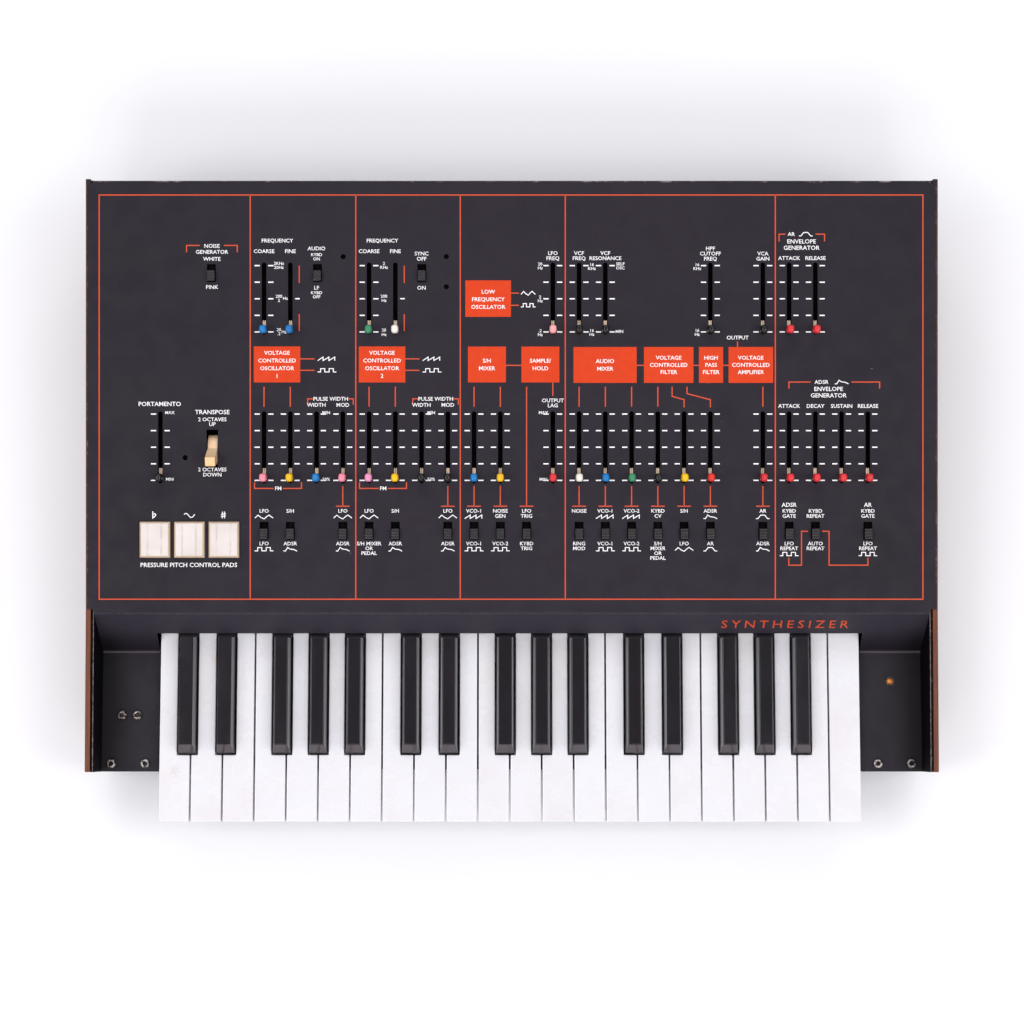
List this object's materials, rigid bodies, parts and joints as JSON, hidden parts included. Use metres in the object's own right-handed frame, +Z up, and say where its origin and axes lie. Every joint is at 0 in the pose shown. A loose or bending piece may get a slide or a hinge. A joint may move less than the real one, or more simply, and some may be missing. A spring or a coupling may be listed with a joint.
{
  "type": "synthesizer",
  "caption": "Desktop analogue synthesizer: keyboard that reaches out over the front, sloping panel of slide controls and switches, pitch pads, thin wooden sides.",
  "frame": {"origin": "middle of the footprint, on the table the feet stand on", "axes": "+X along the keyboard from low notes to high notes, +Y from the player to the back, +Z up"},
  "size_m": [0.619, 0.465, 0.1418],
  "materials": {
    "panel_paint": "fine-textured satin paint",
    "case_paint": "fine-textured satin paint",
    "side_wood": "oiled, reddish brown",
    "frame_steel": "zinc plated",
    "spring_steel": "bright drawn wire",
    "board": "solder mask",
    "housing_steel": "pressed steel",
    "socket_plastic": "moulded",
    "foot_rubber": "moulded",
    "screw_steel": "blackened, worn bright on the head",
    "amber_light": "clear amber lens, lit",
    "black_plastic": "satin moulded",
    "blue_caps": "satin moulded",
    "yellow_caps": "satin moulded",
    "green_caps": "satin moulded",
    "pink_caps": "satin moulded",
    "red_caps": "satin moulded",
    "cream_plastic": "aged, satin",
    "pad_plastic": "translucent, satin",
    "white_keys": "polished",
    "black_keys": "polished"
  },
  "bodies": {
    "case": {"top_panel": "panel_paint", "bottom_case": "case_paint", "wood_sides": "side_wood", "key_frame": "frame_steel", "key_springs": "spring_steel", "circuit_boards": "board", "control_housings": "housing_steel", "rear_sockets": "socket_plastic", "feet": "foot_rubber", "screws": "screw_steel", "power_light": "amber_light"},
    "power_switch": {"power_switch": "black_plastic"},
    "osc1_sliders": {"osc1_sliders": "blue_caps"},
    "osc2_sliders": {"osc2_sliders": "yellow_caps"},
    "lfo_sliders": {"lfo_sliders": "green_caps"},
    "filter_sliders": {"filter_sliders": "pink_caps"},
    "envelope_sliders": {"envelope_sliders": "red_caps"},
    "glide_slider": {"glide_slider": "black_plastic"},
    "function_switches": {"function_switches": "black_plastic"},
    "transpose_lever": {"transpose_lever": "cream_plastic"},
    "flat_pad": {"flat_pad": "pad_plastic"},
    "vibrato_pad": {"vibrato_pad": "pad_plastic"},
    "sharp_pad": {"sharp_pad": "pad_plastic"},
    "white_key_01": {"white_key_01": "white_keys"},
    "white_key_02": {"white_key_02": "white_keys"},
    "white_key_03": {"white_key_03": "white_keys"},
    "white_key_04": {"white_key_04": "white_keys"},
    "white_key_05": {"white_key_05": "white_keys"},
    "white_key_06": {"white_key_06": "white_keys"},
    "white_key_07": {"white_key_07": "white_keys"},
    "white_key_08": {"white_key_08": "white_keys"},
    "white_key_09": {"white_key_09": "white_keys"},
    "white_key_10": {"white_key_10": "white_keys"},
    "white_key_11": {"white_key_11": "white_keys"},
    "white_key_12": {"white_key_12": "white_keys"},
    "white_key_13": {"white_key_13": "white_keys"},
    "white_key_14": {"white_key_14": "white_keys"},
    "white_key_15": {"white_key_15": "white_keys"},
    "white_key_16": {"white_key_16": "white_keys"},
    "white_key_17": {"white_key_17": "white_keys"},
    "white_key_18": {"white_key_18": "white_keys"},
    "white_key_19": {"white_key_19": "white_keys"},
    "white_key_20": {"white_key_20": "white_keys"},
    "white_key_21": {"white_key_21": "white_keys"},
    "white_key_22": {"white_key_22": "white_keys"},
    "black_key_01": {"black_key_01": "black_keys"},
    "black_key_02": {"black_key_02": "black_keys"},
    "black_key_03": {"black_key_03": "black_keys"},
    "black_key_04": {"black_key_04": "black_keys"},
    "black_key_05": {"black_key_05": "black_keys"},
    "black_key_06": {"black_key_06": "black_keys"},
    "black_key_07": {"black_key_07": "black_keys"},
    "black_key_08": {"black_key_08": "black_keys"},
    "black_key_09": {"black_key_09": "black_keys"},
    "black_key_10": {"black_key_10": "black_keys"},
    "black_key_11": {"black_key_11": "black_keys"},
    "black_key_12": {"black_key_12": "black_keys"},
    "black_key_13": {"black_key_13": "black_keys"},
    "black_key_14": {"black_key_14": "black_keys"},
    "black_key_15": {"black_key_15": "black_keys"}
  },
  "joints": [
    {"name": "flat_pad_press", "type": "slide", "parent": "case", "child": "flat_pad", "axis": [0, 0.1045, -0.9945], "range_m": [0, 0.0015], "stiffness_N_per_m": 1500, "springref_m": -0.001},
    {"name": "vibrato_pad_press", "type": "slide", "parent": "case", "child": "vibrato_pad", "axis": [0, 0.1045, -0.9945], "range_m": [0, 0.0015], "stiffness_N_per_m": 1500, "springref_m": -0.001},
    {"name": "sharp_pad_press", "type": "slide", "parent": "case", "child": "sharp_pad", "axis": [0, 0.1045, -0.9945], "range_m": [0, 0.0015], "stiffness_N_per_m": 1500, "springref_m": -0.001},
    {"name": "transpose_tilt", "type": "hinge", "parent": "case", "child": "transpose_lever", "pos_m": [-0.2174, 0.03882, 0.10552], "axis": [-1, 0, 0], "range_deg": [0, 40]},
    {"name": "power_rocker", "type": "hinge", "parent": "case", "child": "power_switch", "pos_m": [0.25, 0.22149, 0.041], "axis": [1, 0, 0], "range_deg": [-16, 0]},
    {"name": "glide_slider_travel", "type": "slide", "parent": "case", "child": "glide_slider", "axis": [0, 0.9945, 0.1045], "range_m": [0, 0.044]},
    {"name": "osc1_sliders_travel", "type": "slide", "parent": "case", "child": "osc1_sliders", "axis": [0, 0.9945, 0.1045], "range_m": [0, 0.044]},
    {"name": "osc2_sliders_travel", "type": "slide", "parent": "case", "child": "osc2_sliders", "axis": [0, 0.9945, 0.1045], "range_m": [0, 0.044]},
    {"name": "lfo_sliders_travel", "type": "slide", "parent": "case", "child": "lfo_sliders", "axis": [0, 0.9945, 0.1045], "range_m": [0, 0.044]},
    {"name": "filter_sliders_travel", "type": "slide", "parent": "case", "child": "filter_sliders", "axis": [0, 0.9945, 0.1045], "range_m": [0, 0.044]},
    {"name": "envelope_sliders_travel", "type": "slide", "parent": "case", "child": "envelope_sliders", "axis": [0, 0.9945, 0.1045], "range_m": [0, 0.044]},
    {"name": "function_switches_travel", "type": "slide", "parent": "case", "child": "function_switches", "axis": [0, 0.9945, 0.1045], "range_m": [0, 0.0044]},
    {"name": "white_key_01_press", "type": "hinge", "parent": "case", "child": "white_key_01", "pos_m": [0, -0.06699, 0.061], "axis": [1, 0, 0], "range_deg": [0, 3.5], "stiffness_Nm_per_rad": 0.5, "springref_deg": -11.46},
    {"name": "white_key_02_press", "type": "hinge", "parent": "case", "child": "white_key_02", "pos_m": [0, -0.06699, 0.061], "axis": [1, 0, 0], "range_deg": [0, 3.5], "stiffness_Nm_per_rad": 0.5, "springref_deg": -11.46},
    {"name": "white_key_03_press", "type": "hinge", "parent": "case", "child": "white_key_03", "pos_m": [0, -0.06699, 0.061], "axis": [1, 0, 0], "range_deg": [0, 3.5], "stiffness_Nm_per_rad": 0.5, "springref_deg": -11.46},
    {"name": "white_key_04_press", "type": "hinge", "parent": "case", "child": "white_key_04", "pos_m": [0, -0.06699, 0.061], "axis": [1, 0, 0], "range_deg": [0, 3.5], "stiffness_Nm_per_rad": 0.5, "springref_deg": -11.46},
    {"name": "white_key_05_press", "type": "hinge", "parent": "case", "child": "white_key_05", "pos_m": [0, -0.06699, 0.061], "axis": [1, 0, 0], "range_deg": [0, 3.5], "stiffness_Nm_per_rad": 0.5, "springref_deg": -11.46},
    {"name": "white_key_06_press", "type": "hinge", "parent": "case", "child": "white_key_06", "pos_m": [0, -0.06699, 0.061], "axis": [1, 0, 0], "range_deg": [0, 3.5], "stiffness_Nm_per_rad": 0.5, "springref_deg": -11.46},
    {"name": "white_key_07_press", "type": "hinge", "parent": "case", "child": "white_key_07", "pos_m": [0, -0.06699, 0.061], "axis": [1, 0, 0], "range_deg": [0, 3.5], "stiffness_Nm_per_rad": 0.5, "springref_deg": -11.46},
    {"name": "white_key_08_press", "type": "hinge", "parent": "case", "child": "white_key_08", "pos_m": [0, -0.06699, 0.061], "axis": [1, 0, 0], "range_deg": [0, 3.5], "stiffness_Nm_per_rad": 0.5, "springref_deg": -11.46},
    {"name": "white_key_09_press", "type": "hinge", "parent": "case", "child": "white_key_09", "pos_m": [0, -0.06699, 0.061], "axis": [1, 0, 0], "range_deg": [0, 3.5], "stiffness_Nm_per_rad": 0.5, "springref_deg": -11.46},
    {"name": "white_key_10_press", "type": "hinge", "parent": "case", "child": "white_key_10", "pos_m": [0, -0.06699, 0.061], "axis": [1, 0, 0], "range_deg": [0, 3.5], "stiffness_Nm_per_rad": 0.5, "springref_deg": -11.46},
    {"name": "white_key_11_press", "type": "hinge", "parent": "case", "child": "white_key_11", "pos_m": [0, -0.06699, 0.061], "axis": [1, 0, 0], "range_deg": [0, 3.5], "stiffness_Nm_per_rad": 0.5, "springref_deg": -11.46},
    {"name": "white_key_12_press", "type": "hinge", "parent": "case", "child": "white_key_12", "pos_m": [0, -0.06699, 0.061], "axis": [1, 0, 0], "range_deg": [0, 3.5], "stiffness_Nm_per_rad": 0.5, "springref_deg": -11.46},
    {"name": "white_key_13_press", "type": "hinge", "parent": "case", "child": "white_key_13", "pos_m": [0, -0.06699, 0.061], "axis": [1, 0, 0], "range_deg": [0, 3.5], "stiffness_Nm_per_rad": 0.5, "springref_deg": -11.46},
    {"name": "white_key_14_press", "type": "hinge", "parent": "case", "child": "white_key_14", "pos_m": [0, -0.06699, 0.061], "axis": [1, 0, 0], "range_deg": [0, 3.5], "stiffness_Nm_per_rad": 0.5, "springref_deg": -11.46},
    {"name": "white_key_15_press", "type": "hinge", "parent": "case", "child": "white_key_15", "pos_m": [0, -0.06699, 0.061], "axis": [1, 0, 0], "range_deg": [0, 3.5], "stiffness_Nm_per_rad": 0.5, "springref_deg": -11.46},
    {"name": "white_key_16_press", "type": "hinge", "parent": "case", "child": "white_key_16", "pos_m": [0, -0.06699, 0.061], "axis": [1, 0, 0], "range_deg": [0, 3.5], "stiffness_Nm_per_rad": 0.5, "springref_deg": -11.46},
    {"name": "white_key_17_press", "type": "hinge", "parent": "case", "child": "white_key_17", "pos_m": [0, -0.06699, 0.061], "axis": [1, 0, 0], "range_deg": [0, 3.5], "stiffness_Nm_per_rad": 0.5, "springref_deg": -11.46},
    {"name": "white_key_18_press", "type": "hinge", "parent": "case", "child": "white_key_18", "pos_m": [0, -0.06699, 0.061], "axis": [1, 0, 0], "range_deg": [0, 3.5], "stiffness_Nm_per_rad": 0.5, "springref_deg": -11.46},
    {"name": "white_key_19_press", "type": "hinge", "parent": "case", "child": "white_key_19", "pos_m": [0, -0.06699, 0.061], "axis": [1, 0, 0], "range_deg": [0, 3.5], "stiffness_Nm_per_rad": 0.5, "springref_deg": -11.46},
    {"name": "white_key_20_press", "type": "hinge", "parent": "case", "child": "white_key_20", "pos_m": [0, -0.06699, 0.061], "axis": [1, 0, 0], "range_deg": [0, 3.5], "stiffness_Nm_per_rad": 0.5, "springref_deg": -11.46},
    {"name": "white_key_21_press", "type": "hinge", "parent": "case", "child": "white_key_21", "pos_m": [0, -0.06699, 0.061], "axis": [1, 0, 0], "range_deg": [0, 3.5], "stiffness_Nm_per_rad": 0.5, "springref_deg": -11.46},
    {"name": "white_key_22_press", "type": "hinge", "parent": "case", "child": "white_key_22", "pos_m": [0, -0.06699, 0.061], "axis": [1, 0, 0], "range_deg": [0, 3.5], "stiffness_Nm_per_rad": 0.5, "springref_deg": -11.46},
    {"name": "black_key_01_press", "type": "hinge", "parent": "case", "child": "black_key_01", "pos_m": [0, -0.06699, 0.061], "axis": [1, 0, 0], "range_deg": [0, 4], "stiffness_Nm_per_rad": 0.5, "springref_deg": -11.46},
    {"name": "black_key_02_press", "type": "hinge", "parent": "case", "child": "black_key_02", "pos_m": [0, -0.06699, 0.061], "axis": [1, 0, 0], "range_deg": [0, 4], "stiffness_Nm_per_rad": 0.5, "springref_deg": -11.46},
    {"name": "black_key_03_press", "type": "hinge", "parent": "case", "child": "black_key_03", "pos_m": [0, -0.06699, 0.061], "axis": [1, 0, 0], "range_deg": [0, 4], "stiffness_Nm_per_rad": 0.5, "springref_deg": -11.46},
    {"name": "black_key_04_press", "type": "hinge", "parent": "case", "child": "black_key_04", "pos_m": [0, -0.06699, 0.061], "axis": [1, 0, 0], "range_deg": [0, 4], "stiffness_Nm_per_rad": 0.5, "springref_deg": -11.46},
    {"name": "black_key_05_press", "type": "hinge", "parent": "case", "child": "black_key_05", "pos_m": [0, -0.06699, 0.061], "axis": [1, 0, 0], "range_deg": [0, 4], "stiffness_Nm_per_rad": 0.5, "springref_deg": -11.46},
    {"name": "black_key_06_press", "type": "hinge", "parent": "case", "child": "black_key_06", "pos_m": [0, -0.06699, 0.061], "axis": [1, 0, 0], "range_deg": [0, 4], "stiffness_Nm_per_rad": 0.5, "springref_deg": -11.46},
    {"name": "black_key_07_press", "type": "hinge", "parent": "case", "child": "black_key_07", "pos_m": [0, -0.06699, 0.061], "axis": [1, 0, 0], "range_deg": [0, 4], "stiffness_Nm_per_rad": 0.5, "springref_deg": -11.46},
    {"name": "black_key_08_press", "type": "hinge", "parent": "case", "child": "black_key_08", "pos_m": [0, -0.06699, 0.061], "axis": [1, 0, 0], "range_deg": [0, 4], "stiffness_Nm_per_rad": 0.5, "springref_deg": -11.46},
    {"name": "black_key_09_press", "type": "hinge", "parent": "case", "child": "black_key_09", "pos_m": [0, -0.06699, 0.061], "axis": [1, 0, 0], "range_deg": [0, 4], "stiffness_Nm_per_rad": 0.5, "springref_deg": -11.46},
    {"name": "black_key_10_press", "type": "hinge", "parent": "case", "child": "black_key_10", "pos_m": [0, -0.06699, 0.061], "axis": [1, 0, 0], "range_deg": [0, 4], "stiffness_Nm_per_rad": 0.5, "springref_deg": -11.46},
    {"name": "black_key_11_press", "type": "hinge", "parent": "case", "child": "black_key_11", "pos_m": [0, -0.06699, 0.061], "axis": [1, 0, 0], "range_deg": [0, 4], "stiffness_Nm_per_rad": 0.5, "springref_deg": -11.46},
    {"name": "black_key_12_press", "type": "hinge", "parent": "case", "child": "black_key_12", "pos_m": [0, -0.06699, 0.061], "axis": [1, 0, 0], "range_deg": [0, 4], "stiffness_Nm_per_rad": 0.5, "springref_deg": -11.46},
    {"name": "black_key_13_press", "type": "hinge", "parent": "case", "child": "black_key_13", "pos_m": [0, -0.06699, 0.061], "axis": [1, 0, 0], "range_deg": [0, 4], "stiffness_Nm_per_rad": 0.5, "springref_deg": -11.46},
    {"name": "black_key_14_press", "type": "hinge", "parent": "case", "child": "black_key_14", "pos_m": [0, -0.06699, 0.061], "axis": [1, 0, 0], "range_deg": [0, 4], "stiffness_Nm_per_rad": 0.5, "springref_deg": -11.46},
    {"name": "black_key_15_press", "type": "hinge", "parent": "case", "child": "black_key_15", "pos_m": [0, -0.06699, 0.061], "axis": [1, 0, 0], "range_deg": [0, 4], "stiffness_Nm_per_rad": 0.5, "springref_deg": -11.46}
  ]
}
